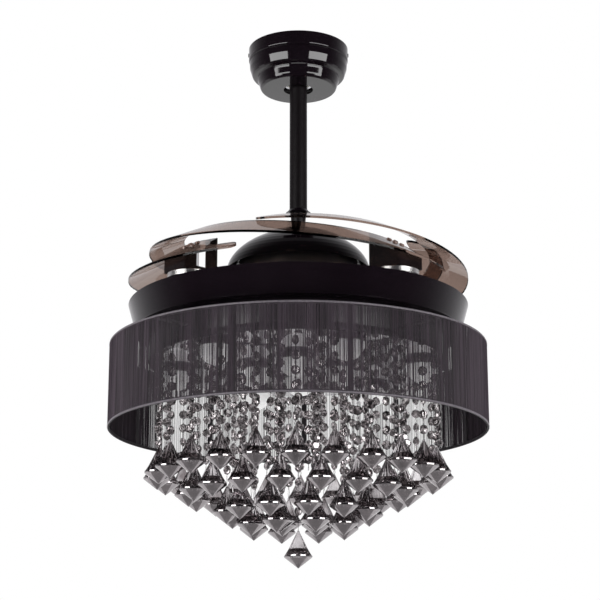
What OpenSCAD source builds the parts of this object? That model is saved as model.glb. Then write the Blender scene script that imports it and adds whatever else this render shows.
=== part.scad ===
// Retractable blade ceiling fan with a drum shade and hanging crystals.
// Millimetres, +Z up. The origin is the centre of the ceiling plane at the mounting strap.

/* [Ceiling mount] */
// Outer radius of the canopy at the ceiling
canopy_r = 73; // [70:0.5:78]
// Height of the canopy below the ceiling
canopy_h = 62.5; // [61:0.5:66]
// Wall of the canopy
canopy_wall = 1.2; // [0.8:0.1:1.6]
// Radius of the hole that the rod comes through
canopy_hole_r = 21.5; // [20.5:0.5:23]
// Distance between the two slots for the ceiling box screws
box_screw_spacing = 88.9; // [82:0.1:96]
// Width of each slot
box_slot_w = 5.4; // [4.6:0.1:6]
// Length of each slot, end to end
box_slot_len = 14; // [10:0.5:16]
// Thickness of the mounting strap
strap_t = 2.5; // [2:0.25:3]
// Width of the mounting strap
strap_w = 30; // [26:1:34]
// Length of the remote receiver box
receiver_len = 60; // [50:1:66]

/* [Ball and rod] */
// Radius of the hanger ball
ball_r = 25; // [24:0.25:25.5]
// Depth of the ball's centre below the ceiling
ball_drop = 33; // [32.5:0.25:34]
// Largest tilt of the rod on each swing axis, degrees
swing_deg = 10; // [6:1:10]
// Outer radius of the down rod
rod_r = 12.7; // [12:0.1:12.9]
// Wall of the down rod
rod_wall = 2.7; // [2.4:0.1:3.2]
// Length of the down rod
rod_len = 240; // [120:5:600]
// Radius of the flared collar at the foot of the rod
collar_r = 18; // [16:0.5:22]
// Height of the flared collar
collar_h = 5; // [4:0.5:8]

/* [Motor] */
// Room between the motor and the dome, at the rim
dome_room = 18; // [14:1:22]
// Height of the dome cover
dome_h = 59; // [56:1:64]
// Wall of the dome cover
dome_wall = 1.5; // [1:0.25:2]
// Height of the bare stem between the collar and the dome
stem_len = 27; // [20:1:60]
// Radius of the hollow motor shaft
shaft_r = 9; // [8:0.25:10]
// Radius of the wire way through the motor shaft
shaft_bore_r = 5.5; // [4:0.25:6]
// Outer radius of the motor housing
motor_r = 84; // [80:0.5:86]
// Height of the motor housing
motor_h = 44; // [42:1:47]
// Wall of the motor housing
motor_wall = 4; // [3:0.5:5]
// Height of the stator core
stator_h = 15; // [10:1:16]
// Depth of the housing's belt that the magnets seat in
belt_w = 14; // [13:0.5:18]
// Number of stator poles
stator_poles = 12; // [9:3:18]

/* [Blade carrier] */
// Distance from the fan axis to each blade pivot
pivot_r = 195; // [194:0.5:196]
// Azimuth of the first blade pivot, degrees
pivot_az = 42; // [0:1:89]
// Thickness of the carrier plate
plate_t = 3; // [2:0.5:4]
// Radius of the bright cup over each pivot
cup_r = 32; // [28:0.5:33]
// Height of each cup
cup_h = 16; // [14:0.5:18]
// Wall of each cup
cup_wall = 1.5; // [1:0.25:2]
// Radius of each blade spindle
spindle_r = 6; // [5:0.25:7]
// Teeth on each spindle's pinion
pinion_teeth = 16; // [16:1:16]
// Teeth on the common gear
sync_teeth = 88; // [88:4:88]
// Thickness of the gears
gear_t = 6; // [4:0.5:8]
// Backlash between the gears, on the pitch circle
backlash = 0.5; // [0.3:0.05:0.8]

/* [Blades] */
// Radius of the blade's outer edge, as an arc in plan, beyond the pivots' radius
blade_edge_reach = 17; // [13:1:19]
// Offset of the arc's centre from the fan axis, along the pivot's radius
blade_arc_x = 23; // [20:0.5:26]
// Offset of the arc's centre, across the pivot's radius
blade_arc_y = -19; // [-22:0.5:-16]
// Width of the blade in plan
blade_w = 55.5; // [50:0.5:57]
// Width of the blade in plan near its tip
blade_tip_w = 44; // [38:1:50]
// Thickness of the blade sheet
blade_t = 3; // [2.5:0.1:3.2]
// Rise of the sheet towards its inner edge, degrees
blade_pitch = 26.5; // [22:0.5:28]
// Tilt of the whole blade, higher at its tip, degrees
blade_tilt = 6.1; // [5:0.1:7]
// Azimuth that the tilt climbs towards, from the pivot's radius
blade_tilt_az = 190; // [185:1:195]
// Angle of the blade's tip round its arc
blade_tip_deg = -158; // [-160:1:-130]
// Angle of the blade's wide root round its arc
blade_root_deg = 17; // [12:1:18]
// Angle of the end of the root's tongue round its arc
tongue_deg = 33; // [28:0.5:34]
// Width of the root's tongue
tongue_w = 17; // [12:1:20]
// Height of the blade's edge above the cups, at the fan axis
blade_rise = 38; // [36:0.5:41]

/* [Tray] */
// Widening of the tray from its lower edge to its open top
tray_flare = 10; // [8:0.5:14]
// Reach of the tray's lower edge beyond the blade pivots
tray_foot_reach = 35; // [33:0.5:39]
// Height of the tray
tray_h = 39; // [37:0.5:44]
// Wall of the tray
tray_wall = 2; // [1.5:0.25:2.5]
// Distance from the dome's rim down to the tray's rim
tray_drop = 56; // [55.5:0.5:60]

/* [Light pan] */
// Radius of the light pan
pan_r = 210; // [206:0.5:214]
// Least step from the tray's lower edge in to the pan
pan_step = 16; // [14:0.5:20]
// Height of the light pan
pan_h = 42.5; // [42:0.5:48]
// Wall of the light pan
pan_wall = 1.5; // [1:0.25:2]
// Thickness of the mirror plate
mirror_t = 1.5; // [1:0.25:3]
// Distance from the pan's wall in to the centres of the outer ring of lamps
lamp_ring_in = 35; // [32:1:40]
// Lamps in the outer ring
lamp_ring_n = 6; // [4:1:8]
// Radius of the inner ring of lamps
lamp_inner_r = 62; // [61:0.5:63]
// Lamps in the inner ring
lamp_inner_n = 4; // [2:1:4]
// Radius of each lamp's white dome
lamp_r = 24; // [22:0.5:25]

/* [Shade] */
// Outer radius of the drum shade
shade_r = 265; // [258:1:275]
// Height of the drum shade
shade_h = 118.5; // [90:0.5:160]
// Height of the shade's top above the mirror plate
shade_lift = 24; // [18:0.5:30]
// Upright bars in the shade
shade_bars = 11; // [6:1:16]
// Width of each upright bar
bar_w = 8; // [4:0.5:12]
// Height of the shade's rims
rim_h = 4; // [3:0.5:6]

/* [Crystals] */
// Radius of the widest part of a drop
drop_r = 19.5; // [15:0.5:19.5]
// Height of a drop above its widest part
drop_top_h = 35.5; // [30:0.5:38]
// Height of a drop's point below its widest part
drop_point_h = 16; // [8:0.5:17]
// Depth of the outer drops' widest part below the mirror plate
first_drop = 160; // [120:1:180]
// Radius of a bead
bead_r = 6.8; // [5:0.1:7]
// Distance from one bead to the next
bead_pitch = 20; // [16:0.5:24]

/* [Hidden] */
$fn = 96;

// Clearances
fit = 0.05;          // a shaft in its bore
near = 0.3;          // curved faces of different bodies
touch = 0.1;         // pieces of one body that are set against each other
over = 1;            // how far a cut runs past the face it starts from
deep = 80;           // height of the shapes that trim a blade and its arm

// Ball and seat
z_ball = -ball_drop;
liner_t = 2.2;
seat_t = 2.6;
seat_low = 45;       // lower limit of the seat below the ball's equator, degrees
seat_high = 14;      // upper limit of the seat below the ball's equator, degrees
liner_r0 = ball_r + near;
liner_r1 = liner_r0 + liner_t;
seat_r0 = liner_r1 + near;
seat_r1 = seat_r0 + seat_t;
leg_x = seat_r1 + strap_t;
cross_pin_r = 3;
cross_pin_rise = 12;
rod_above = 19;
z_rod_top = z_ball + rod_above;
z_rod_end = z_rod_top - rod_len;
rod_bore_r = rod_r - rod_wall;

// Canopy profile, from its radius and height
tier_1_h = 17;
tier_2_h = 44;
strap_half = box_screw_spacing / 2 + box_slot_len / 2 + 3.5;
canopy_tab_x = canopy_r - canopy_wall - 1.6;
canopy_screw_z = -8;
canopy_screw_r = 2;

// Motor stack
z_dome_top = z_rod_end - stem_len;
z_dome_rim = z_dome_top - dome_h;
dome_power = 1.8;    // shape of the dome's curve
stem_top_r = 11;
stem_foot_r = 9.5;
spigot_len = 34;
z_motor_top = z_dome_rim + 28;
z_motor_foot = z_motor_top - motor_h;
z_split = (z_motor_top + z_motor_foot) / 2;
bearing_h = 9;
bearing_r = 17.5;
z_stator = z_split;
air_gap = 0.8;
magnet_t = 5;
magnet_r = motor_r - belt_w - touch - magnet_t;
stator_r = magnet_r - air_gap;
dome_r = motor_r + dome_room;
nut_h = 5;
nut_r = 15;
z_dome_nut = z_dome_top - dome_wall - 3;

// Blade carrier stack
tray_bottom_r = max(pivot_r + tray_foot_reach, pan_r + pan_step);
tray_top_r = tray_bottom_r + tray_flare;
z_tray_top = z_dome_rim - tray_drop;
z_tray_foot = z_tray_top - tray_h;
z_tray_floor = z_tray_foot + 2.5;
z_plate = z_tray_top - 2;
z_plate_foot = z_plate - plate_t;
z_cup_top = z_plate + cup_h;
hub_flange_r = 60;
hub_r = 46;
boss_r = 38;
z_gear_top = z_plate_foot - 3.5;
z_gear_foot = z_gear_top - gear_t;
z_retainer = z_gear_foot - 0.4;
retainer_t = 2.5;
bush_r = 9;
z_bush_top = z_plate + 5;
plate_hub_r = 100;
gear_module = 2 * pivot_r / (pinion_teeth + sync_teeth);
sync_pitch_r = gear_module * sync_teeth / 2;
pinion_pitch_r = gear_module * pinion_teeth / 2;
blade_count = 4;
blade_step = 360 / blade_count;

// Blades: heights are measured before the tilt, from the outer edge's underside
z_blade = z_cup_top + blade_rise;
blade_arc_r = pivot_r + blade_edge_reach;
pitch_rise = tan(blade_pitch);
blade_v = blade_t / cos(blade_pitch);
arm_len = 56;
arm_w = 44;
arm_slot = 11;
arm_slot_off = 14.5;
arm_slot_az = 48;
z_arm_foot = z_cup_top + near;
z_spindle_top = z_arm_foot + 9;
z_spindle_foot = z_gear_foot - 3;
blade_screw_r = 2;
blade_screw_len = 9;
screw_head_r = 4;
screw_head_h = 2;
blade_screw_spots = [[-6.5, -7], [-6.5, 7], [4.5, -7], [4.5, 7]];   // along the width, along the arc

// Light kit
lamp_ring_r = pan_r - lamp_ring_in;
z_pan_foot = z_tray_foot - pan_h;
z_mirror_top = z_pan_foot + mirror_t;
lamp_ring_az = -8.5;
lamp_inner_az = -2.5;
holder_r = 14;
holder_h = 26;
z_holder_foot = z_tray_foot - holder_h;
lamp_base_r = 7;
z_lamp_dome = z_pan_foot - 7;
lamp_hole_r = lamp_r + 0.8;

// Shade
z_shade_top = z_pan_foot + shade_lift;
z_shade_foot = z_shade_top - shade_h;
rim_t = 1.6;
thread_t = 0.9;
bar_t = 1.2;
spoke_n = 4;
spoke_w = 10;
spoke_t = 2;
bar_first_az = 219;

// Crystals: one entry for each ring, from the rim to the middle
ring_r = [lamp_ring_r + 20, lamp_ring_r - 24, 99, 68, 33, 0];
ring_n = [24, 18, 12, 8, 4, 1];
ring_az = [269, 261.3, 188, 245, 42.5, 0];
ring_drop = [0, 24.3, 49.5, 67, 62, 108.3];
wire_r = 0.5;
drop_neck_r = 1.6;
drop_turn = 17;      // each drop hangs turned a little further than the one before it

// ---------------------------------------------------------------- helpers

// A ring of outer radius ro and inner radius ri, from height z0 up to z1
module ring(ro, ri, z0, z1) {
    translate([0, 0, z0]) difference() {
        cylinder(r = ro, h = z1 - z0);
        translate([0, 0, -over]) cylinder(r = ri, h = z1 - z0 + 2 * over);
    }
}

// A spherical zone between two radii, from lo to hi degrees below the equator
module zone(r0, r1, lo, hi) {
    steps = 8;
    angles = [for (i = [0:steps]) hi + (lo - hi) * i / steps];
    rotate_extrude() polygon(concat(
        [for (a = angles) [r0 * cos(a), -r0 * sin(a)]],
        [for (i = [steps:-1:0]) [r1 * cos(angles[i]), -r1 * sin(angles[i])]]));
}

// Copies of the children round the Z axis
module around(n, r, first = 0) {
    for (i = [0:n - 1]) rotate(first + i * 360 / n) translate([r, 0, 0]) children();
}

// A round-headed screw, head up, its seat at z = 0
module screw(shank_r, len, head_r, head_h) {
    translate([0, 0, -len]) cylinder(r = shank_r, h = len, $fn = 24);
    translate([0, 0, 0]) cylinder(r1 = head_r, r2 = head_r * 0.7, h = head_h, $fn = 32);
}

// ---------------------------------------------------------------- ceiling mount

module slot_cut() {
    half = (box_slot_len - box_slot_w) / 2;
    for (s = [-1, 1]) translate([s * half, 0, -strap_t - over])
        cylinder(r = box_slot_w / 2, h = strap_t + 2 * over, $fn = 32);
    translate([-half, -box_slot_w / 2, -strap_t - over]) cube([2 * half, box_slot_w, strap_t + 2 * over]);
}

module hanger_bracket() {
    leg_foot = z_ball - seat_r1 * sin(30);
    leg_lug = strap_t + 5;
    color("silver") {
        difference() {
            union() {
                translate([-strap_half, -strap_w / 2, -strap_t]) cube([2 * strap_half, strap_w, strap_t]);
                for (s = [-1, 1]) {
                    translate([s > 0 ? leg_x - strap_t : -leg_x, -strap_w / 4, leg_foot])
                        cube([strap_t, strap_w / 2, -leg_foot]);
                    translate([s > 0 ? leg_x - leg_lug : -leg_x, -strap_w / 4, leg_foot])
                        cube([leg_lug, strap_w / 2, seat_r1 * (sin(30) - sin(seat_high))]);
                    translate([s > 0 ? strap_half : -canopy_tab_x, -strap_w / 4, -strap_t])
                        cube([canopy_tab_x - strap_half, strap_w / 2, strap_t]);
                    translate([s > 0 ? canopy_tab_x - strap_t : -canopy_tab_x, -strap_w / 4, -16])
                        cube([strap_t, strap_w / 2, 16]);
                }
                translate([0, 0, z_ball]) zone(seat_r0, seat_r1, seat_low, seat_high);
            }
            for (s = [-1, 1]) translate([s * box_screw_spacing / 2, 0, 0]) slot_cut();
            translate([0, 0, z_ball]) sphere(r = seat_r0);
            for (s = [-1, 1]) translate([s * canopy_tab_x, 0, canopy_screw_z]) rotate([0, 90, 0])
                cylinder(r = canopy_screw_r, h = 4 * strap_t, center = true, $fn = 24);
            translate([0, 0, -strap_t - over]) cylinder(r = 14, h = strap_t + 2 * over);
        }
    }
}

// A tier of the canopy: a steep band from top to bend, a sloping band to low, then rounded in to the foot
function tier(top, bend, low, foot, start = 18) = concat([top, bend], [for (i = [0:6])
    let (t = start + i * (90 - start) / 6)
    [foot[0] + (low[0] - foot[0]) * cos(t) / cos(start),
     low[1] + (foot[1] - low[1]) * (sin(t) - sin(start)) / (1 - sin(start))]]);
// The hollow corner under a step, of radius f, that ends on the wall at radius r
function step_corner(r, z, f) = [for (i = [0:4]) let (t = i * 90 / 4) [r + f - f * sin(t), z - f + f * cos(t)]];
// Outline of the canopy, drawn in by the wall for its inside
function canopy_line(inset) = let (r = canopy_r - inset, h = canopy_h - inset, low = inset * 0.4) concat(
    tier([r, 0], [r, -tier_1_h / 2], [r, -tier_1_h], [r - 1.8, -tier_1_h - 3 + low], 0),
    tier([r - 1, -tier_1_h - 4.5 + low], [r - 1.9, -(tier_1_h + tier_2_h) / 2],
        [r - 4.8, -tier_2_h + 4.5], [r - 9.5, -tier_2_h + low]),
    step_corner(r - 13, -tier_2_h - 0.3 + low, 2.2),
    tier([r - 13.05, -tier_2_h - 3 + low], [r - 13.5, -(tier_2_h + h) / 2 + 4],
        [r - 16.3, -h + 6], [r - 20.5, -h]));

module canopy() {
    outer = canopy_line(0);
    inner = canopy_line(canopy_wall);
    last = len(inner) - 1;
    color([0.05, 0.05, 0.06]) difference() {
        rotate_extrude() polygon(concat(outer,
            [[canopy_hole_r, -canopy_h], [canopy_hole_r, -canopy_h + canopy_wall]],
            [for (i = [last:-1:0]) inner[i]]));
        for (s = [0, 180]) rotate(s) translate([canopy_r, 0, canopy_screw_z]) rotate([0, 90, 0])
            cylinder(r = canopy_screw_r + touch, h = 8 * canopy_wall, center = true, $fn = 24);
    }
}

module canopy_screws() {
    color("silver") for (s = [0, 180]) rotate(s) translate([canopy_r, 0, canopy_screw_z]) rotate([0, 90, 0])
        screw(canopy_screw_r - fit, canopy_r - canopy_tab_x + strap_t, 3.4, 1);
}

receiver_w = 22;
receiver_h = 20;
receiver_y = ball_r + 1;
module remote_receiver() {
    color("dimgray") difference() {
        translate([-receiver_len / 2, receiver_y, -receiver_h - strap_t])
            cube([receiver_len, receiver_w, receiver_h]);
        for (s = [-1, 1])
            translate([s * (receiver_len / 2 - 2), receiver_y + receiver_w / 2,
                -receiver_h - strap_t - over])
                cylinder(r = 1, h = 2 * over, $fn = 16);
    }
    color("dimgray") for (s = [-1, 1])
        translate([s * receiver_len / 4 - 4, strap_w / 2 - 8, -strap_t - 2])
            cube([8, receiver_y - strap_w / 2 + 8, 2]);
}

// The three leads arch from the receiver's side over into the top of the rod
lead_r = 1.1;
lead_y = 1.5;
lead_dip = 2.4;
module lead_wires() {
    arch_r = (receiver_y - touch - lead_r - lead_y) / 2;
    color([0.08, 0.08, 0.08]) for (x = [-2.6, 0, 2.6])
        translate([x, lead_y + arch_r, z_rod_top - lead_dip]) rotate([90, 0, 90])
            rotate_extrude(angle = 180) translate([arch_r, 0]) circle(r = lead_r, $fn = 24);
}

module ball_seat_liner() {
    color("ivory") translate([0, 0, z_ball]) zone(liner_r0, liner_r1, seat_low, seat_high + 6);
}

// ---------------------------------------------------------------- ball, rod and stem

module hanger_ball() {
    color("lightgray") difference() {
        translate([0, 0, z_ball]) intersection() {
            sphere(r = ball_r);
            translate([0, 0, -ball_r * 0.78]) cylinder(r = ball_r + over, h = ball_r * 1.5);
        }
        translate([0, 0, z_ball - ball_r - over]) cylinder(r = rod_r + fit, h = 2 * ball_r + 2 * over);
        translate([0, 0, z_ball + cross_pin_rise]) rotate([0, 90, 0])
            cylinder(r = cross_pin_r + fit, h = 2 * ball_r + 2 * over, center = true, $fn = 32);
        translate([-ball_r - over, -cross_pin_r - fit, z_ball + cross_pin_rise])
            cube([2 * ball_r + 2 * over, 2 * cross_pin_r + 2 * fit, ball_r]);
    }
}

cross_pin_len = 2 * sqrt(ball_r * ball_r - pow(cross_pin_rise + cross_pin_r, 2)) - 2;
module ball_cross_pin() {
    color("silver") translate([0, 0, z_ball + cross_pin_rise]) rotate([0, 90, 0])
        cylinder(r = cross_pin_r, h = cross_pin_len, center = true, $fn = 32);
}

set_screw_z = z_rod_end + 20;
set_screw_r = 3;
module down_rod() {
    color([0.08, 0.08, 0.08]) difference() {
        ring(rod_r, rod_bore_r, z_rod_end, z_rod_top);
        translate([0, 0, z_ball + cross_pin_rise]) rotate([0, 90, 0])
            cylinder(r = cross_pin_r + fit, h = 3 * rod_r, center = true, $fn = 32);
        translate([0, rod_r, set_screw_z]) rotate([90, 0, 0])
            cylinder(r = set_screw_r, h = 3 * rod_wall, center = true, $fn = 24);
    }
}

module rod_set_screw() {
    color("silver") translate([0, rod_r - 0.2, set_screw_z]) rotate([90, 0, 0]) difference() {
        cylinder(r = set_screw_r - fit, h = rod_wall - 0.2, $fn = 24);
        translate([0, 0, -over]) cylinder(r = 1.3, h = 1.2 + over, $fn = 6);
    }
}

module rod_collar() {
    color([0.06, 0.06, 0.06]) translate([0, 0, z_rod_end]) rotate_extrude() polygon([
        [rod_r + fit, 0.8], [collar_r - 1.5, 0], [collar_r, -0.4], [collar_r, 0.8],
        [collar_r - 2, 2.2], [rod_r + 1.4, collar_h], [rod_r + fit, collar_h]]);
}

z_shaft_foot = z_tray_foot - 11;
module motor_shaft() {
    color([0.1, 0.1, 0.1]) rotate_extrude() polygon([
        [shaft_bore_r, z_rod_end + spigot_len], [rod_bore_r - fit, z_rod_end + spigot_len],
        [rod_bore_r - fit, z_rod_end - touch], [stem_top_r, z_rod_end - touch],
        [stem_top_r, z_rod_end - 4], [stem_foot_r, z_dome_top + 2], [stem_foot_r, z_dome_top],
        [shaft_r, z_dome_top], [shaft_r, z_shaft_foot + 1], [shaft_r - 1, z_shaft_foot],
        [shaft_bore_r, z_shaft_foot]]);
}

// ---------------------------------------------------------------- dome and motor

// Height of the dome's outer face above its rim, at radius r
function dome_z(r) = dome_h * pow(1 - pow(r / dome_r, dome_power), 1 / dome_power);

module dome_cover() {
    steps = 14;
    radii = [for (i = [0:steps]) dome_r * sin(i * 90 / steps)];
    inner_r = shaft_r + touch;
    outer = [for (r = radii) if (r > stem_foot_r + 4) [r, z_dome_rim + dome_z(min(r, dome_r))]];
    inner = [for (i = [steps:-1:0]) let (r = radii[i], k = (dome_r - dome_wall) / dome_r)
        if (r > stem_foot_r + 4)
            [r * k, z_dome_rim + dome_z(min(r, dome_r)) * (dome_h - dome_wall) / dome_h]];
    color([0.05, 0.05, 0.06]) rotate_extrude() polygon(concat(
        [[inner_r, z_dome_top - 0.2], [stem_foot_r + 3, z_dome_top - 0.2]], outer, inner,
        [[inner_r, z_dome_top - dome_wall - 3 + touch]]));
}

module shaft_nuts() {
    color("silver") {
        for (top = [z_dome_nut, z_tray_floor + nut_h + 0.05, z_tray_foot - 0.05]) difference() {
            translate([0, 0, top - nut_h]) cylinder(r = nut_r, h = nut_h, $fn = 6);
            translate([0, 0, top - nut_h - over]) cylinder(r = shaft_r + 0.02, h = nut_h + 2 * over);
        }
    }
}

module stator_core() {
    slot_r = stator_r * 0.62;
    color("gray") translate([0, 0, z_stator - stator_h / 2]) difference() {
        cylinder(r = stator_r, h = stator_h);
        translate([0, 0, -over]) cylinder(r = shaft_r + 0.02, h = stator_h + 2 * over);
        around(stator_poles, slot_r, 180 / stator_poles)
            translate([-stator_r * 0.2, -stator_r * 0.08, -over])
                cube([stator_r * 0.5, stator_r * 0.16, stator_h + 2 * over]);
    }
}

module stator_windings() {
    slot_r = stator_r * 0.62;
    wind_w = stator_r * 0.16 - 2 * touch;
    wind_len = stator_r * 0.42;
    color("peru") translate([0, 0, z_stator]) around(stator_poles, slot_r, 180 / stator_poles)
        translate([-stator_r * 0.2 + touch, -wind_w / 2, -stator_h / 2 - 2])
            cube([wind_len, wind_w, stator_h + 4]);
}

module motor_shell(face, split, inward) {
    // face is the outer flat face, split is the joint between the shells
    // inward is the way from the face to the inside: 1 for up, -1 for down
    edge = 8;
    rotate_extrude() polygon([
        [shaft_r + 3, face], [motor_r - edge, face], [motor_r - edge * 0.3, face + inward * edge * 0.3],
        [motor_r, face + inward * edge], [motor_r, split], [motor_r - belt_w, split],
        [motor_r - belt_w, split - inward * stator_h / 2],
        [motor_r - motor_wall, split - inward * stator_h / 2],
        [motor_r - motor_wall, face + inward * (edge + 1)],
        [motor_r - edge - 1, face + inward * motor_wall],
        [bearing_r + motor_wall, face + inward * motor_wall],
        [bearing_r + motor_wall, face + inward * (motor_wall / 2 + bearing_h)],
        [bearing_r, face + inward * (motor_wall / 2 + bearing_h)],
        [bearing_r, face + inward * motor_wall / 2],
        [shaft_r + 3, face + inward * motor_wall / 2]]);
}

shell_screw_n = 6;
shell_screw_r = 2;
ear_r = motor_r - motor_wall - 3.6;
module shell_ears(z0, z1) {
    for (i = [0:shell_screw_n - 1]) rotate(i * 360 / shell_screw_n) translate([ear_r, 0, z0]) difference() {
        translate([-3.4, -5, 0]) cube([3.4 + motor_wall, 10, z1 - z0]);
        translate([0, 0, -over]) cylinder(r = shell_screw_r, h = z1 - z0 + 2 * over, $fn = 24);
    }
}

module shell_bores(z0, z1) {
    around(shell_screw_n, ear_r) translate([0, 0, z0])
        cylinder(r = shell_screw_r + touch, h = z1 - z0, $fn = 24);
}

module motor_upper_shell() {
    color([0.13, 0.13, 0.14]) difference() {
        union() {
            motor_shell(z_motor_top, z_split, -1);
            shell_ears(z_split, z_motor_top - 2);
        }
        shell_bores(z_split - over, z_motor_top + over);
    }
}

module motor_lower_shell() {
    color([0.13, 0.13, 0.14]) difference() {
        union() {
            motor_shell(z_motor_foot, z_split - touch, 1);
            shell_ears(z_motor_foot + 2, z_split - touch);
        }
        shell_bores(z_motor_foot - over, z_split + over);
        around(hub_screw_n, hub_screw_ring, 30) translate([0, 0, z_motor_foot - over])
            cylinder(r = hub_screw_r, h = motor_wall + 2 * over, $fn = 24);
    }
}

module shell_screws() {
    color("silver") around(shell_screw_n, ear_r) translate([0, 0, z_motor_top])
        screw(shell_screw_r - fit, motor_h - 4, 3.4, 1.8);
}

module rotor_magnets() {
    gap_deg = 3;
    poles = 16;
    color([0.25, 0.25, 0.28]) for (i = [0:poles - 1]) rotate(i * 360 / poles)
        rotate_extrude(angle = 360 / poles - gap_deg) translate([magnet_r, z_stator - stator_h / 2])
            square([magnet_t, stator_h]);
}

module motor_bearings() {
    color("silver") {
        for (top = [z_motor_top - motor_wall / 2 - touch,
            z_motor_foot + motor_wall / 2 + touch + bearing_h])
            ring(bearing_r - 0.02, shaft_r + fit, top - bearing_h, top);
    }
}

// ---------------------------------------------------------------- blade carrier

hub_screw_n = 6;
hub_screw_ring = 53;
hub_screw_r = 2.5;
plate_screw_ring = 42;
module carrier_hub() {
    bore = shaft_r + 3;
    color([0.5, 0.5, 0.52]) difference() {
        rotate_extrude() polygon([
            [bore, z_motor_foot - touch], [hub_flange_r, z_motor_foot - touch],
            [hub_flange_r, z_motor_foot - 6],
            [hub_r, z_motor_foot - 6], [hub_r, z_plate + touch], [boss_r, z_plate + touch],
            [boss_r, z_retainer], [bore, z_retainer]]);
        around(hub_screw_n, hub_screw_ring, 30) translate([0, 0, z_motor_foot - 8])
            cylinder(r = hub_screw_r + touch, h = 10, $fn = 24);
        around(hub_screw_n, plate_screw_ring) translate([0, 0, z_plate - over])
            cylinder(r = hub_screw_r, h = 12 + over, $fn = 24);
        around(3, boss_r - 5) translate([0, 0, z_retainer - over])
            cylinder(r = 1.5, h = 8 + over, $fn = 24);
    }
}

module carrier_plate() {
    arm_half = cup_r + 2;
    color([0.35, 0.35, 0.37]) translate([0, 0, z_plate_foot]) difference() {
        union() {
            cylinder(r = plate_hub_r, h = plate_t);
            for (i = [0:blade_count - 1]) rotate(pivot_az + i * blade_step) {
                translate([0, -arm_half, 0]) cube([pivot_r, 2 * arm_half, plate_t]);
                translate([pivot_r, 0, 0]) cylinder(r = cup_r + 0.5, h = plate_t);
            }
        }
        translate([0, 0, -over]) cylinder(r = boss_r + fit, h = plate_t + 2 * over);
        around(hub_screw_n, plate_screw_ring) translate([0, 0, -over])
            cylinder(r = hub_screw_r + touch, h = plate_t + 2 * over, $fn = 24);
        around(blade_count, pivot_r, pivot_az) translate([0, 0, -over])
            cylinder(r = bush_r, h = plate_t + 2 * over);
        around(blade_count, 72, pivot_az + blade_step / 2) translate([0, 0, -over])
            cylinder(r = 16, h = plate_t + 2 * over);
    }
}

module carrier_screws() {
    color("silver") {
        around(hub_screw_n, hub_screw_ring, 30) translate([0, 0, z_motor_foot - 6 - touch])
            mirror([0, 0, 1])
            screw(hub_screw_r - fit, 9, 4.2, 2.4);
        around(hub_screw_n, plate_screw_ring) translate([0, 0, z_plate_foot]) mirror([0, 0, 1])
            screw(hub_screw_r - fit, 12, 3.6, 2.2);
    }
}

module pivot_cups() {
    color([0.85, 0.85, 0.87]) around(blade_count, pivot_r, pivot_az) translate([0, 0, z_plate])
        rotate_extrude() polygon([
        [spindle_r + 1, cup_h - 2], [spindle_r + 1, cup_h], [cup_r - 1, cup_h], [cup_r, cup_h - 1],
        [cup_r, cup_h * 0.55], [cup_r - 0.8, cup_h * 0.5], [cup_r - 0.8, cup_h * 0.4],
        [cup_r, cup_h * 0.35],
        [cup_r, touch], [cup_r - 0.8 - cup_wall, touch], [cup_r - 0.8 - cup_wall, cup_h - 2]]);
}

module pivot_bushes() {
    color("goldenrod") around(blade_count, pivot_r, pivot_az) rotate_extrude() polygon([
        [spindle_r + fit, z_plate_foot], [bush_r - 0.02, z_plate_foot], [bush_r - 0.02, z_plate + touch],
        [bush_r + 2, z_plate + touch], [bush_r + 2, z_plate + 2], [bush_r, z_plate + 2],
        [bush_r, z_bush_top], [spindle_r + fit, z_bush_top]]);
}

module return_springs() {
    spring_in = bush_r + 3;
    color("dimgray") around(blade_count, pivot_r, pivot_az)
        ring(spring_in + 2.4, spring_in, z_plate + touch, z_plate + cup_h - 3);
}

// Half the angle of a gear tooth at radius r, for an involute tooth
function inv(a) = tan(a) * 180 / PI - a;
function tooth_half(r, teeth, play) = let (rp = gear_module * teeth / 2, rb = rp * cos(20))
    90 / teeth - play * 90 / (PI * rp) + inv(20) - inv(acos(min(1, rb / r)));
// Outline of a spur gear with a tooth centred on the X axis
function gear_line(teeth, play, tip) = let (
    rp = gear_module * teeth / 2, rb = rp * cos(20), root = rp - 1.25 * gear_module,
    base = max(rb, root), top = rp + tip * gear_module,
    radii = [base, (base + rp) / 2, rp, (rp + top) / 2, top])
    [for (i = [0:teeth - 1]) let (c = i * 360 / teeth) each concat(
        root < base ? [[root * cos(c - tooth_half(base, teeth, play)),
            root * sin(c - tooth_half(base, teeth, play))]] : [],
        [for (r = radii) let (a = c - tooth_half(r, teeth, play)) [r * cos(a), r * sin(a)]],
        [for (k = [4:-1:0]) let (r = radii[k], a = c + tooth_half(r, teeth, play)) [r * cos(a),
            r * sin(a)]],
        root < base ? [[root * cos(c + tooth_half(base, teeth, play)),
            root * sin(c + tooth_half(base, teeth, play))]] : [])];

module sync_gear() {
    web_r = (boss_r + sync_pitch_r) / 2;
    window_r = (sync_pitch_r - boss_r) / 2 - 30;
    windows = 6;
    color([0.75, 0.75, 0.7]) translate([0, 0, z_gear_foot]) rotate(pivot_az) linear_extrude(gear_t)
        difference() {
        polygon(gear_line(sync_teeth, backlash / 2, 0.9));
        circle(r = boss_r + fit);
        for (i = [0:windows - 1]) rotate(i * 360 / windows) translate([web_r, 0]) circle(r = window_r);
    }
}

module gear_retainer() {
    color("silver") difference() {
        ring(boss_r + 7, shaft_r + 4, z_retainer - retainer_t, z_retainer);
        around(3, boss_r - 5) translate([0, 0, z_retainer - retainer_t - over])
            cylinder(r = 1.6, h = retainer_t + 2 * over, $fn = 24);
    }
    color("silver") around(3, boss_r - 5) translate([0, 0, z_retainer - retainer_t - touch])
        mirror([0, 0, 1])
        screw(1.5 - fit, 8, 3, 1.8);
}

// ---------------------------------------------------------------- blades

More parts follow.
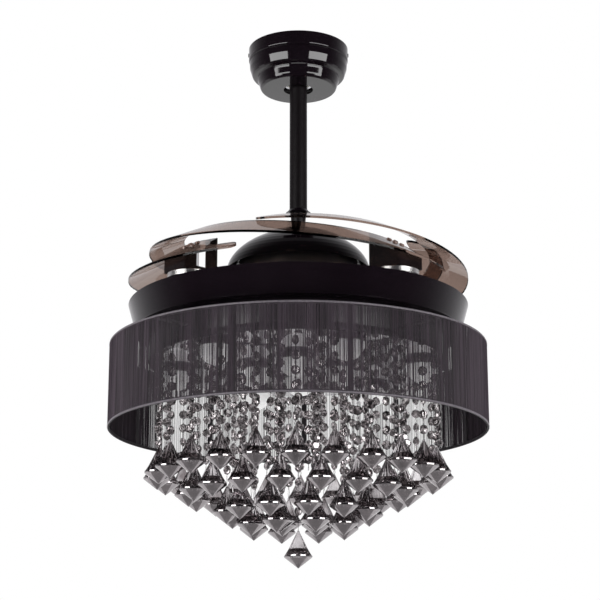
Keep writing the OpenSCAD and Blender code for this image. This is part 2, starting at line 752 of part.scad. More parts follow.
// Places the children in the frame of one blade's pivot, then in the blade's own tilt
module at_pivot(i) {
    rotate(pivot_az + i * blade_step) children();
}

module tilted() {
    translate([0, 0, z_blade]) rotate(blade_tilt_az) rotate([0, -blade_tilt, 0]) rotate(-blade_tilt_az)
        translate([blade_arc_x, blade_arc_y, 0]) children();
}

// The sheet is part of a cone: lowest at the outer edge, rising inwards
module blade_sheet() {
    r0 = blade_arc_r - blade_w - 6;
    r1 = blade_arc_r + 2;
    rotate_extrude($fn = 180) polygon([
        [r0, (blade_arc_r - r0) * pitch_rise], [r1, (blade_arc_r - r1) * pitch_rise],
        [r1, (blade_arc_r - r1) * pitch_rise + blade_v], [r0, (blade_arc_r - r0) * pitch_rise + blade_v]]);
}

// Points on an arc round the blade arc's centre
function arc(r0, r1, a0, a1,
    n) = [for (i = [0:n]) let (t = i / n, r = r0 + (r1 - r0) * t, a = a0 + (a1 - a0) * t)
    [r * cos(a), r * sin(a)]];
// Half round end between two radii at angle a, turning outwards (s = 1) or inwards (s = -1)
function round_end(r_in, r_out, a, dir, n) = let (m = (r_in + r_out) / 2, h = (r_out - r_in) / 2)
    [for (i = [1:n - 1]) let (t = 180 * i / n, r = m + h * cos(t), d = dir * h * sin(t) / m * 180 / PI)
        [r * cos(a + d), r * sin(a + d)]];

module blade_outline() {
    edge = blade_arc_r;
    tip_in = edge - blade_tip_w;
    tongue_in = edge - tongue_w;
    root_in = edge - blade_w;
    tip_round = blade_tip_w / 2 / edge * 180 / PI;
    tongue_round = tongue_w / 2 / edge * 180 / PI;
    polygon(concat(
        arc(edge, edge, tongue_deg - tongue_round, blade_tip_deg + tip_round, 40),
        round_end(tip_in, edge, blade_tip_deg + tip_round, -1, 8),
        arc(tip_in, root_in, blade_tip_deg + tip_round, -70, 16),
        arc(root_in, root_in, -65, blade_root_deg - 9, 16),
        [for (i = [0:8]) let (t = i * 90 / 8, r = root_in + (tongue_in - root_in) * (1 - cos(t)),
            a = blade_root_deg - 9 + 12 * sin(t)) [r * cos(a), r * sin(a)]],
        arc(tongue_in, tongue_in, blade_root_deg + 5, tongue_deg - tongue_round, 4),
        [for (i = [5:-1:1]) let (t = 180 * i / 6, r = edge - tongue_w / 2 + tongue_w / 2 * cos(t),
            a = tongue_deg - tongue_round + tongue_round * 1.1 * sin(t)) [r * cos(a), r * sin(a)]]));
}

// The four screws of a blade, square to the sheet above the arm
module blade_screw_places() {
    rel = [pivot_r - blade_arc_x, -blade_arc_y];
    r = norm(rel);
    a = atan2(rel[1], rel[0]);
    for (spot = blade_screw_spots) rotate(a + spot[1] / r * 180 / PI)
        translate([r + spot[0], 0, (blade_arc_r - r - spot[0]) * pitch_rise + blade_v])
            rotate([0, blade_pitch, 0]) children();
}

module blade(i) {
    color([0.35, 0.25, 0.2, 0.6]) at_pivot(i) tilted() difference() {
        intersection() {
            blade_sheet();
            translate([0, 0, -deep / 4]) linear_extrude(deep) blade_outline();
        }
        blade_screw_places() translate([0, 0, -blade_t - over])
            cylinder(r = blade_screw_r + touch, h = blade_t + 2 * over, $fn = 24);
    }
}

// Everything below the sheet's underside, for the arm's sloping top
module under_blade() {
    r0 = blade_arc_r - blade_w - 40;
    r1 = blade_arc_r + 30;
    rotate_extrude($fn = 180) polygon([
        [r0, -deep], [r1, -deep], [r1, (blade_arc_r - r1) * pitch_rise - touch],
        [r0, (blade_arc_r - r0) * pitch_rise - touch]]);
}

module blade_arm(i) {
    color([0.05, 0.05, 0.05]) at_pivot(i) difference() {
        intersection() {
            translate([pivot_r - arm_len / 2, -arm_w / 2, z_arm_foot]) cube([arm_len, arm_w, deep]);
            tilted() under_blade();
            tilted() translate([0, 0, -deep]) cylinder(r = blade_arc_r - 4, h = 2 * deep);
        }
        translate([pivot_r, 0, 0]) rotate(arm_slot_az)
            translate([-arm_len, arm_slot_off - arm_slot / 2, z_arm_foot + 6])
            cube([2 * arm_len, arm_slot, deep]);
        translate([pivot_r, 0, z_arm_foot - over])
            cylinder(r = spindle_r + 0.02, h = z_spindle_top - z_arm_foot + over + touch);
        tilted() blade_screw_places() translate([0, 0, -blade_t - blade_screw_len])
            cylinder(r = blade_screw_r, h = blade_screw_len + over, $fn = 24);
    }
}

module blade_spindle(i) {
    color("silver") at_pivot(i) translate([pivot_r, 0, 0]) {
        translate([0, 0, z_spindle_foot]) cylinder(r = spindle_r, h = z_spindle_top - z_spindle_foot);
        translate([0, 0, z_gear_foot]) rotate(180 / pinion_teeth) linear_extrude(gear_t)
            polygon(gear_line(pinion_teeth, backlash / 2, 1));
    }
}

module blade_screws(i) {
    color("silver") at_pivot(i) tilted() blade_screw_places() translate([0, 0, touch])
        screw(blade_screw_r - fit, blade_screw_len, screw_head_r, screw_head_h);
}

// ---------------------------------------------------------------- tray and light kit

module fan_tray() {
    lip = 1.2;
    color([0.05, 0.05, 0.06]) difference() {
        rotate_extrude($fn = 180) polygon([
            [tray_top_r, z_tray_top], [tray_bottom_r, z_tray_foot + 3],
            [tray_bottom_r + lip, z_tray_foot + 2],
            [tray_bottom_r + lip, z_tray_foot], [shaft_r + touch, z_tray_foot],
            [shaft_r + touch, z_tray_floor],
            [tray_bottom_r - tray_wall - 1, z_tray_floor], [tray_top_r - tray_wall, z_tray_top]]);
        around(pan_screw_n, pan_screw_ring, 15) translate([0, 0, z_tray_foot - over])
            cylinder(r = pan_screw_r + touch, h = 6, $fn = 24);
    }
}

pan_screw_n = 6;
pan_lip = 20;
pan_screw_ring = pan_r - pan_lip / 2;
pan_screw_r = 2;
module light_pan() {
    color([0.05, 0.05, 0.06]) difference() {
        rotate_extrude($fn = 180) polygon([
            [pan_r, z_pan_foot], [pan_r, z_tray_foot - touch], [pan_r - pan_lip, z_tray_foot - touch],
            [pan_r - pan_lip, z_tray_foot - touch - pan_wall],
            [pan_r - pan_wall, z_tray_foot - touch - pan_wall],
            [pan_r - pan_wall, z_mirror_top + pan_wall], [pan_r - 5, z_mirror_top + pan_wall],
            [pan_r - 5, z_mirror_top + touch], [pan_r - pan_wall, z_mirror_top + touch],
            [pan_r - pan_wall, z_pan_foot]]);
        around(pan_screw_n, pan_screw_ring, 15) translate([0, 0, z_tray_foot - 3 * pan_wall])
            cylinder(r = pan_screw_r, h = 4 * pan_wall, $fn = 24);
    }
}

module pan_screws() {
    color("silver") around(pan_screw_n, pan_screw_ring, 15) translate([0, 0, z_tray_floor + touch])
        screw(pan_screw_r - fit, 5, 3.6, 2);
}

module lamp_places() {
    around(lamp_ring_n, lamp_ring_r, lamp_ring_az) children();
    around(lamp_inner_n, lamp_inner_r, lamp_inner_az) children();
}

module mirror_plate() {
    color([0.8, 0.8, 0.82]) difference() {
        translate([0, 0, z_pan_foot]) cylinder(r = pan_r - pan_wall - touch, h = mirror_t, $fn = 180);
        lamp_places() translate([0, 0, z_pan_foot - over])
            cylinder(r = lamp_hole_r, h = mirror_t + 2 * over, $fn = 64);
    }
}

module lamp_holders() {
    color([0.9, 0.9, 0.88]) lamp_places() rotate_extrude($fn = 48) polygon([
        [0, z_tray_foot - touch], [holder_r, z_tray_foot - touch], [holder_r - 1.5, z_holder_foot],
        [lamp_base_r + near, z_holder_foot], [lamp_base_r + near, z_tray_foot - 9], [0, z_tray_foot - 9]]);
}

module lamp_bodies() {
    color("silver") lamp_places() rotate_extrude($fn = 48) polygon([
        [0, z_tray_foot - 9 - touch], [lamp_base_r, z_tray_foot - 9 - touch],
        [lamp_base_r, z_holder_foot - touch],
        [holder_r - 2, z_holder_foot - touch], [lamp_r - 3, z_lamp_dome + 6],
        [lamp_r - 0.4, z_lamp_dome + 1],
        [lamp_r - 0.4, z_lamp_dome], [0, z_lamp_dome]]);
}

module lamp_domes() {
    color("white") lamp_places() translate([0, 0, z_lamp_dome - touch]) difference() {
        sphere(r = lamp_r, $fn = 48);
        cylinder(r = 2 * lamp_r, h = 2 * lamp_r);
    }
}

// ---------------------------------------------------------------- shade

rim_r = shade_r - thread_t - 2 * touch;

module shade_top_ring() {
    spoke_z = z_shade_top - rim_h;
    color([0.3, 0.28, 0.32]) {
        ring(rim_r, rim_r - rim_t, z_shade_top - rim_h, z_shade_top);
        difference() {
            for (i = [0:spoke_n - 1]) rotate(45 + i * 360 / spoke_n)
                translate([pan_r - 1, -spoke_w / 2, spoke_z])
                    cube([rim_r - rim_t / 2 - pan_r + 1, spoke_w, spoke_t]);
            translate([0, 0, spoke_z - over])
                cylinder(r = pan_r + touch, h = spoke_t + 2 * over, $fn = 180);
        }
    }
}

module shade_bottom_ring() {
    color([0.3, 0.28, 0.32]) ring(rim_r, rim_r - rim_t, z_shade_foot, z_shade_foot + rim_h);
}

module shade_bars() {
    color([0.2, 0.18, 0.2]) for (i = [0:shade_bars - 1]) rotate(bar_first_az + i * 360 / shade_bars)
        translate([rim_r - bar_t - 0.2, -bar_w / 2, z_shade_foot + rim_h + touch])
            cube([bar_t, bar_w, shade_h - 2 * rim_h - 2 * touch]);
}

module shade_threads() {
    color([0.2, 0.18, 0.22, 0.6]) difference() {
        translate([0, 0, z_shade_foot]) cylinder(r = shade_r, h = shade_h, $fn = 180);
        translate([0, 0, z_shade_foot - over])
            cylinder(r = shade_r - thread_t, h = shade_h + 2 * over, $fn = 180);
    }
}

// ---------------------------------------------------------------- crystals

function drop_z(k) = z_pan_foot - first_drop - ring_drop[k];

// One string: a thin wire with beads from the mirror plate down to the top of its drop
module bead_string(top, foot, first) {
    n = floor((top - foot - first) / bead_pitch + 0.6);
    rotate_extrude($fn = 24) polygon(concat(
        [[0, top], [wire_r, top]],
        [for (i = [0:n - 1]) let (z = top - first - i * bead_pitch) each
            [[wire_r, z + bead_r], [bead_r, z + bead_r * 0.25], [bead_r, z - bead_r * 0.25],
            [wire_r, z - bead_r]]],
        [[wire_r, foot], [0, foot]]));
}

module ring_places(k) {
    for (i = [0:ring_n[k] - 1]) rotate(ring_az[k] + i * 360 / ring_n[k]) translate([ring_r[k], 0, 0])
        rotate(i * drop_turn) children();
}

module bead_strings() {
    color([0.5, 0.5, 0.52, 0.7]) for (k = [0:len(ring_r) - 1]) ring_places(k)
        bead_string(z_pan_foot - touch, drop_z(k) + drop_top_h + touch,
            k < 3 ? bead_r * 1.6 : bead_r * 3.8);
}

module crystal_drop() {
    cylinder(r1 = drop_r, r2 = drop_neck_r, h = drop_top_h, $fn = 6);
    translate([0, 0, -drop_point_h]) cylinder(r1 = 0, r2 = drop_r, h = drop_point_h, $fn = 6);
}

module drops(first, last) {
    color([0.5, 0.5, 0.52, 0.7]) for (k = [first:last]) ring_places(k) translate([0, 0, drop_z(k)])
        crystal_drop();
}

// ---------------------------------------------------------------- build

hanger_bracket();
canopy();
canopy_screws();
remote_receiver();
lead_wires();
ball_seat_liner();
hanger_ball();
ball_cross_pin();
down_rod();
rod_set_screw();
rod_collar();
motor_shaft();
dome_cover();
shaft_nuts();
stator_core();
stator_windings();
fan_tray();
light_pan();
pan_screws();
mirror_plate();
lamp_holders();
lamp_bodies();
lamp_domes();
shade_top_ring();
shade_bottom_ring();
shade_bars();
shade_threads();
bead_strings();
drops(0, 1);  // outer_drops
drops(2, 5);  // inner_drops
motor_upper_shell();
motor_lower_shell();
shell_screws();
rotor_magnets();
motor_bearings();
carrier_hub();
carrier_plate();
carrier_screws();
pivot_cups();
pivot_bushes();
return_springs();
gear_retainer();
sync_gear();
blade(0);  // blade_1
blade_arm(0);  // blade_arm_1
blade_spindle(0);  // blade_spindle_1
blade_screws(0);  // blade_screws_1
blade(1);  // blade_2
blade_arm(1);  // blade_arm_2
blade_spindle(1);  // blade_spindle_2
blade_screws(1);  // blade_screws_2
blade(2);  // blade_3
blade_arm(2);  // blade_arm_3
blade_spindle(2);  // blade_spindle_3
blade_screws(2);  // blade_screws_3
blade(3);  // blade_4
blade_arm(3);  // blade_arm_4
blade_spindle(3);  // blade_spindle_4
blade_screws(3);  // blade_screws_4
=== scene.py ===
import bpy
import bmesh
import math
import random
from mathutils import Matrix, Vector


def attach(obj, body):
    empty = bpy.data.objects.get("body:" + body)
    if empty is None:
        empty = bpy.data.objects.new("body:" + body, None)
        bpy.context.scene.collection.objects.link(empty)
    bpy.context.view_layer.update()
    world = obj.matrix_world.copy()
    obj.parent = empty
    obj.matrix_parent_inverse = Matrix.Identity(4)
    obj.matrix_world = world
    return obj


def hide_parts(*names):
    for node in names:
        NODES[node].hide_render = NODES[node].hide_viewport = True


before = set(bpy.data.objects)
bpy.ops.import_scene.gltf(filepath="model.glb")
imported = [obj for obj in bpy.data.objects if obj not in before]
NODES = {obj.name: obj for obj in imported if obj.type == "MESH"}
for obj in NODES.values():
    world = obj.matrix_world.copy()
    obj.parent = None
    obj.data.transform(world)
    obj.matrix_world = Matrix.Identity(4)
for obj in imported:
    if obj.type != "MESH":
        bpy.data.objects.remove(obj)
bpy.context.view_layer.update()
TAU = 2 * math.pi

# ---------------------------------------------------------------- sizes in metres, in the part's frame
CAMERA_AT = (0.0024, -2.3451, -1.0169)
CAMERA_PITCH = 15.14          # degrees above the horizon
CAMERA_LENS = 102.53
CAMERA_SENSOR = 36

PLATE_Z = -0.4775             # underside of the mirror plate, where the strings begin
RING_R = (0.195, 0.151, 0.099, 0.068, 0.033, 0.0)
RING_N = (24, 18, 12, 8, 4, 1)
RING_AZ = (269, 261.3, 188, 245, 42.5, 0)
RING_DROP = (0.160, 0.1843, 0.2095, 0.227, 0.222, 0.2683)
DROP_R = 0.0195
DROP_TOP = 0.0355
DROP_POINT = 0.016
DROP_TURN = 17
FLUTES = 18
FLUTE_IN = 0.945               # how far the hollow of a flute is drawn in
GIRDLE_TOP = 0.0018            # top of the polished girdle band; the point and girdle take the lighter copy, painted light
SHADOW_TOP = 0.0095            # top of the painted shade band over a drop's girdle
BEAD_R = 0.0067
BEAD_T = 0.0066                # thickness of a bead, face to face
BEAD_EDGE = 0.0024             # width of the sloping rim round each flat face
BEAD_REACH = BEAD_R * 0.8      # where a wire loop enters a bead, from its centre
BEAD_PITCH = 0.020
LOOP_HALF_W = 0.0012
LOOP_WIRE_R = 0.00032
FIRST_BEAD = (0.0109, 0.0109, 0.0109, 0.0258, 0.0258, 0.0258)

SHADE_R = 0.265
SHADE_TOP = -0.4535
SHADE_FOOT = -0.572
RIM_H = 0.003
RIM_T = 0.0024                 # thickness of a wrapped rim
RIM_EDGE = 0.0007              # its bevelled edge
THREADS = 2350                 # round the whole rim, at the close spacing
THIN_SPACING = 1.9             # the curtain hangs thinner over this half angle each side of the back
THIN_HALF = math.radians(50)
THREAD_R = 0.00033


# ---------------------------------------------------------------- materials
def new_material(name):
    mat = bpy.data.materials.new(name)
    mat.use_nodes = True
    return mat, mat.node_tree.nodes, mat.node_tree.links, mat.node_tree.nodes["Principled BSDF"]


def object_noise(nodes, links, scale, stretch=(1, 1, 1), detail=3):
    where = nodes.new("ShaderNodeTexCoord")
    shape = nodes.new("ShaderNodeMapping")
    shape.inputs["Scale"].default_value = stretch
    noise = nodes.new("ShaderNodeTexNoise")
    noise.inputs["Scale"].default_value = scale
    noise.inputs["Detail"].default_value = detail
    links.new(where.outputs["Object"], shape.inputs["Vector"])
    links.new(shape.outputs["Vector"], noise.inputs["Vector"])
    return noise


def finish(name, color, rough, second=None, metal=0.0, coat=0.0, spec=0.5, grain=0.03, scale=60.0, bump=0.0,
           stretch=(1, 1, 1), clear=0.0, ior=1.5, glow=0.0):
    """One finish: its colour runs to a second tone, and its roughness and relief vary, over the object."""
    mat, nodes, links, bsdf = new_material(name)
    bsdf.inputs["Base Color"].default_value = (*color, 1)
    bsdf.inputs["Metallic"].default_value = metal
    bsdf.inputs["Specular IOR Level"].default_value = spec
    bsdf.inputs["Coat Weight"].default_value = coat
    bsdf.inputs["Coat Roughness"].default_value = 0.03
    bsdf.inputs["Transmission Weight"].default_value = clear
    bsdf.inputs["IOR"].default_value = ior
    bsdf.inputs["Emission Color"].default_value = (1, 1, 1, 1)
    bsdf.inputs["Emission Strength"].default_value = glow
    noise = object_noise(nodes, links, scale, stretch)
    span = nodes.new("ShaderNodeMapRange")
    span.inputs["From Min"].default_value = 0.3
    span.inputs["From Max"].default_value = 0.7
    span.inputs["To Min"].default_value = max(0.0, rough - grain)
    span.inputs["To Max"].default_value = rough + grain
    links.new(noise.outputs["Fac"], span.inputs["Value"])
    links.new(span.outputs["Result"], bsdf.inputs["Roughness"])
    if second:
        tones = nodes.new("ShaderNodeValToRGB")
        tones.color_ramp.elements[0].position = 0.35
        tones.color_ramp.elements[0].color = (*color, 1)
        tones.color_ramp.elements[1].position = 0.65
        tones.color_ramp.elements[1].color = (*second, 1)
        links.new(noise.outputs["Fac"], tones.inputs["Fac"])
        links.new(tones.outputs["Color"], bsdf.inputs["Base Color"])
    if bump:
        relief = nodes.new("ShaderNodeBump")
        relief.inputs["Strength"].default_value = bump
        relief.inputs["Distance"].default_value = 0.001
        links.new(noise.outputs["Fac"], relief.inputs["Height"])
        links.new(relief.outputs["Normal"], bsdf.inputs["Normal"])
    return mat


GLOSS_BLACK = finish("gloss_black_enamel", (0.0032, 0.0018, 0.0030), 0.05, (0.0048, 0.0030, 0.0045), spec=0.45,
                     grain=0.015, scale=9)
PAN_BLACK = finish("pan_black_enamel", (0.0050, 0.0038, 0.0050), 0.10, (0.0065, 0.0048, 0.0062), spec=0.4,
                   grain=0.02, scale=12)
ROD_BLACK = finish("rod_satin_black", (0.0040, 0.0030, 0.0035), 0.38, (0.0050, 0.0037, 0.0044), spec=0.15,
                   grain=0.05, scale=260, bump=0.04)
CASE_BLACK = finish("case_satin_black", (0.016, 0.014, 0.015), 0.34, (0.020, 0.018, 0.019), grain=0.06,
                    scale=90, bump=0.05)
ARM_BLACK = finish("arm_black_plastic", (0.004, 0.0022, 0.0022), 0.16, (0.006, 0.0034, 0.0034), spec=0.3,
                   grain=0.03, scale=45)
SCREW_BLACK = finish("black_oxide", (0.020, 0.018, 0.018), 0.35, metal=0.6, grain=0.06, scale=300)
CUP_SILVER = finish("cup_satin_silver", (0.74, 0.72, 0.71), 0.24, (0.80, 0.79, 0.78), metal=1.0, grain=0.05,
                    scale=30, stretch=(1, 1, 9))
CHROME = finish("chrome", (0.72, 0.71, 0.71), 0.08, metal=1.0, grain=0.02, scale=40)
STEEL = finish("steel", (0.56, 0.55, 0.54), 0.28, (0.62, 0.61, 0.60), metal=1.0, grain=0.08, scale=300)
BRASS = finish("brass_screw", (0.62, 0.42, 0.20), 0.25, (0.70, 0.50, 0.26), metal=1.0, grain=0.05, scale=300)
DARK_STEEL = finish("dark_steel", (0.25, 0.25, 0.26), 0.38, (0.31, 0.31, 0.32), metal=1.0, grain=0.08, scale=200)
ZINC = finish("bright_zinc", (0.66, 0.66, 0.68), 0.24, (0.74, 0.74, 0.76), metal=1.0, grain=0.07, scale=60, bump=0.04)
COPPER = finish("copper_wire", (0.70, 0.30, 0.14), 0.30, (0.60, 0.24, 0.11), metal=1.0, grain=0.08, scale=60,
                stretch=(1, 1, 30), bump=0.3)
BRONZE = finish("bronze_bush", (0.62, 0.42, 0.18), 0.30, (0.54, 0.36, 0.15), metal=1.0, grain=0.05, scale=200)
MIRROR = finish("mirror_plate", (0.66, 0.64, 0.66), 0.03, (0.70, 0.68, 0.70), metal=1.0, grain=0.015, scale=12)
NYLON = finish("nylon", (0.74, 0.70, 0.60), 0.45, (0.70, 0.66, 0.56), grain=0.05, scale=150, bump=0.05)
GEAR = finish("gear_plastic", (0.78, 0.76, 0.68), 0.42, (0.74, 0.72, 0.64), grain=0.05, scale=150, bump=0.04)
RECEIVER = finish("receiver_case", (0.80, 0.80, 0.78), 0.50, (0.75, 0.75, 0.73), grain=0.05, scale=250, bump=0.08)
HOLDER = finish("holder_plastic", (0.82, 0.82, 0.80), 0.35, (0.78, 0.78, 0.76), grain=0.05, scale=120)
LAMP_BODY = finish("lamp_body", (0.42, 0.41, 0.42), 0.38, (0.48, 0.47, 0.48), metal=0.6, grain=0.06, scale=150)
# The lamp domes are unlit bulbs; their slight glow is painted light, standing in for light through the frosted white.
LAMP_WHITE = finish("lamp_white", (0.80, 0.79, 0.79), 0.30, (0.84, 0.83, 0.83), grain=0.05, scale=60, glow=0.36)
WIRE = finish("lead_sleeve", (0.010, 0.009, 0.010), 0.40, (0.014, 0.012, 0.013), grain=0.05, scale=200, bump=0.05)
RIM = finish("shade_rim_wrap", (0.060, 0.053, 0.062), 0.45, (0.10, 0.088, 0.10), grain=0.06, scale=400,
             stretch=(1, 1, 0.4), bump=0.3)
FRAME = finish("shade_frame_metal", (0.020, 0.017, 0.020), 0.40, (0.028, 0.024, 0.028), grain=0.06, scale=200)
THREAD = finish("shade_thread", (0.012, 0.0086, 0.0116), 0.52, (0.042, 0.0305, 0.0405), spec=0.28, grain=0.08, scale=260,
                stretch=(1, 1, 0.02))
BLADE = finish("smoked_acrylic", (0.22, 0.155, 0.130), 0.015, (0.24, 0.168, 0.142), grain=0.01, scale=6, clear=1.0,
               ior=1.18)
BLADE_SCREW = finish("blade_screw_bronze", (0.30, 0.24, 0.22), 0.35, (0.36, 0.29, 0.27), metal=0.8, grain=0.06, scale=300)
# A drop's one smoky crystal as lit and shaded copies: the point lighter with painted light, a dark band of painted
# shade over the girdle, and the cone's colour running from dark to near-white painted glints and streaks.
POINT = finish("crystal_point", (0.42, 0.39, 0.40), 0.02, (0.48, 0.445, 0.455), metal=0.70, grain=0.015, scale=30,
               clear=1.0, ior=1.45)
SHADOW = finish("crystal_shadow", (0.035, 0.026, 0.028), 0.03, (0.16, 0.13, 0.135), metal=0.35, grain=0.015, scale=170,
                clear=1.0, ior=1.5)
CONE = finish("crystal_cone", (0.14, 0.115, 0.12), 0.02, (1.0, 0.965, 0.985), metal=0.08, grain=0.015, scale=26,
              stretch=(1, 1, 0.6), clear=1.0, ior=1.36)
CRYSTAL = (POINT, SHADOW, CONE)          # the three zones of a drop, in the order of its material slots: painted-light point, painted-shade band, cone with painted glints
# The bead's smoky glass runs by noise to a near-white second tone: painted sparkle standing in for its glints.
BEAD = finish("smoked_bead", (0.10, 0.082, 0.086), 0.02, (1.0, 0.95, 0.96), metal=0.38, grain=0.015, scale=190,
              clear=1.0, ior=1.5)

LOOKS = {
    "hanger_bracket": ZINC, "canopy": GLOSS_BLACK, "canopy_screws": SCREW_BLACK, "remote_receiver": RECEIVER,
    "lead_wires": WIRE, "ball_seat_liner": NYLON, "hanger_ball": ZINC, "ball_cross_pin": STEEL,
    "down_rod": ROD_BLACK, "rod_set_screw": BRASS, "rod_collar": GLOSS_BLACK, "motor_shaft": ROD_BLACK,
    "dome_cover": GLOSS_BLACK, "shaft_nuts": STEEL, "stator_core": DARK_STEEL, "stator_windings": COPPER,
    "fan_tray": GLOSS_BLACK, "light_pan": PAN_BLACK, "pan_screws": STEEL, "mirror_plate": MIRROR,
    "lamp_holders": HOLDER, "lamp_bodies": LAMP_BODY, "lamp_domes": LAMP_WHITE, "shade_top_ring": FRAME,
    "shade_bottom_ring": FRAME, "shade_bars": FRAME, "shade_threads": THREAD, "bead_strings": BEAD,
    "outer_drops": CONE, "inner_drops": CONE, "motor_upper_shell": CASE_BLACK,
    "motor_lower_shell": CASE_BLACK, "shell_screws": STEEL, "rotor_magnets": DARK_STEEL,
    "motor_bearings": STEEL, "carrier_hub": CASE_BLACK, "carrier_plate": CASE_BLACK,
    "carrier_screws": STEEL, "pivot_cups": CUP_SILVER, "pivot_bushes": BRONZE,
    "return_springs": DARK_STEEL, "gear_retainer": STEEL, "sync_gear": GEAR,
}
for k in range(1, 5):
    LOOKS[f"blade_{k}"] = BLADE
    LOOKS[f"blade_arm_{k}"] = ARM_BLACK
    LOOKS[f"blade_spindle_{k}"] = STEEL
    LOOKS[f"blade_screws_{k}"] = BLADE_SCREW

for node_name, node in NODES.items():
    node.data.materials.clear()
    node.data.materials.append(LOOKS[node_name])


# ---------------------------------------------------------------- bench helpers
def add_piece(name, bm, mat, body, smooth=False):
    mesh = bpy.data.meshes.new(name)
    bmesh.ops.recalc_face_normals(bm, faces=bm.faces)
    for face in bm.faces:
        face.smooth = smooth
    bm.to_mesh(mesh)
    bm.free()
    for each in mat if isinstance(mat, tuple) else (mat,):
        mesh.materials.append(each)
    obj = bpy.data.objects.new(name, mesh)
    bpy.context.scene.collection.objects.link(obj)
    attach(obj, body)
    return obj


def template(bm):
    """Keeps a finished shape as a mesh, to be set down many times."""
    bmesh.ops.recalc_face_normals(bm, faces=bm.faces)
    mesh = bpy.data.meshes.new("template")
    bm.to_mesh(mesh)
    bm.free()
    return mesh


def set_down(bm, mesh, place):
    """Adds a template to a bmesh at a place."""
    first = len(bm.verts)
    bm.from_mesh(mesh)
    bm.verts.ensure_lookup_table()
    bmesh.ops.transform(bm, matrix=place, verts=bm.verts[first:])


def turned(bm, outline, steps):
    """Spins an outline of radius and height round Z, and closes it."""
    verts = [bm.verts.new((r, 0, z)) for r, z in outline]
    edges = [bm.edges.new(pair) for pair in zip(verts, verts[1:])]
    bmesh.ops.spin(bm, geom=verts + edges, cent=(0, 0, 0), axis=(0, 0, 1), angle=TAU, steps=steps, use_merge=True)
    bmesh.ops.remove_doubles(bm, verts=bm.verts, dist=1e-6)


# ---------------------------------------------------------------- crystals
def make_drop():
    """One drop: a round point, a polished girdle band, and a tall cone with fine flutes."""
    bm = bmesh.new()
    turned(bm, ((0, -DROP_POINT), (DROP_R * 0.985, -0.0012), (DROP_R, -0.0006), (DROP_R, 0.0010),
                (DROP_R * 0.93, 0.0024), (DROP_R * 0.70, SHADOW_TOP), (DROP_R * 0.10, DROP_TOP * 0.94),
                (DROP_R * 0.07, DROP_TOP), (0, DROP_TOP)), FLUTES * 2)
    for vert in bm.verts:
        index = round(math.atan2(vert.co.y, vert.co.x) / TAU * FLUTES * 2)
        if index % 2 and 0.002 < vert.co.z < DROP_TOP * 0.97:
            bmesh.ops.scale(bm, vec=(FLUTE_IN, FLUTE_IN, 1), verts=[vert])
    # Each face takes the painted-light point, the painted shade band or the glinting cone, by its height.
    for face in bm.faces:
        height = face.calc_center_median().z
        face.material_index = 0 if height < GIRDLE_TOP else 1 if height < SHADOW_TOP else 2
    return template(bm)


def make_bead():
    """An eight-sided bead that stands on edge, with a sloping rim round each flat face."""
    bm = bmesh.new()
    bmesh.ops.create_cone(bm, cap_ends=True, segments=8, radius1=BEAD_R, radius2=BEAD_R, depth=BEAD_T)
    rims = [e for e in bm.edges if abs(e.verts[0].co.z - e.verts[1].co.z) < 1e-6]
    bmesh.ops.bevel(bm, geom=rims, offset=BEAD_EDGE, offset_type="OFFSET", segments=1, profile=0.5,
                    affect="EDGES", material=-1)
    bmesh.ops.poke(bm, faces=[f for f in bm.faces if 0.1 < abs(f.normal.z) < 0.9])
    bmesh.ops.rotate(bm, matrix=Matrix.Rotation(math.radians(90), 3, "X"), verts=bm.verts)
    return template(bm)


DROP = make_drop()
BEAD_MESH = make_bead()


def wire_loop(bm, at, turn, low, high):
    """A narrow loop of wire between two heights, as four short bars."""
    mid, half = (low + high) / 2, (high - low) / 2
    corners = [TAU / 4 + TAU * i / 4 for i in range(4)]
    points = [Vector((LOOP_HALF_W * math.cos(a), 0, mid + half * math.sin(a))) for a in corners]
    spin = Matrix.Translation(at) @ Matrix.Rotation(turn, 4, "Z")
    for a, b in zip(points, points[1:] + points[:1]):
        way = b - a
        place = spin @ Matrix.Translation((a + b) / 2) @ way.to_track_quat("Z", "Y").to_matrix().to_4x4()
        bmesh.ops.create_cone(bm, cap_ends=False, segments=4, radius1=LOOP_WIRE_R, radius2=LOOP_WIRE_R,
                              depth=way.length, matrix=place)


random.seed(7)
for k, (radius, count, start, depth) in enumerate(zip(RING_R, RING_N, RING_AZ, RING_DROP)):
    drop_bm = bmesh.new()
    bead_bm = bmesh.new()
    link_bm = bmesh.new()
    for i in range(count):
        az = math.radians(start + i * 360 / count)
        foot = Vector((radius * math.cos(az), radius * math.sin(az), PLATE_Z - depth))
        turn = Matrix.Rotation(az + math.radians(i * DROP_TURN), 4, "Z")
        set_down(drop_bm, DROP, Matrix.Translation(foot) @ turn)
        apex = foot.z + DROP_TOP
        beads = int((PLATE_Z - apex - FIRST_BEAD[k]) / BEAD_PITCH + 0.6)
        last = PLATE_Z
        axis = Vector((foot.x, foot.y, 0))
        for j in range(beads):
            z = PLATE_Z - FIRST_BEAD[k] - j * BEAD_PITCH
            spin = Matrix.Rotation(random.uniform(0, TAU), 4, "Z") @ Matrix.Rotation(random.uniform(-0.12, 0.12), 4, "X")
            set_down(bead_bm, BEAD_MESH, Matrix.Translation((foot.x, foot.y, z)) @ spin)
            wire_loop(link_bm, axis, random.uniform(0, TAU), z + BEAD_REACH, last)
            last = z - BEAD_REACH
        wire_loop(link_bm, axis, random.uniform(0, TAU), apex - 0.001, last)
    drops = add_piece(f"drops_ring_{k + 1}", drop_bm, CRYSTAL, "hanging")
    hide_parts("outer_drops" if k < 2 else "inner_drops")
    beads_piece = add_piece(f"beads_ring_{k + 1}", bead_bm, BEAD, "hanging")
    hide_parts("bead_strings")
    add_piece(f"bead_links_{k + 1}", link_bm, CHROME, "hanging")

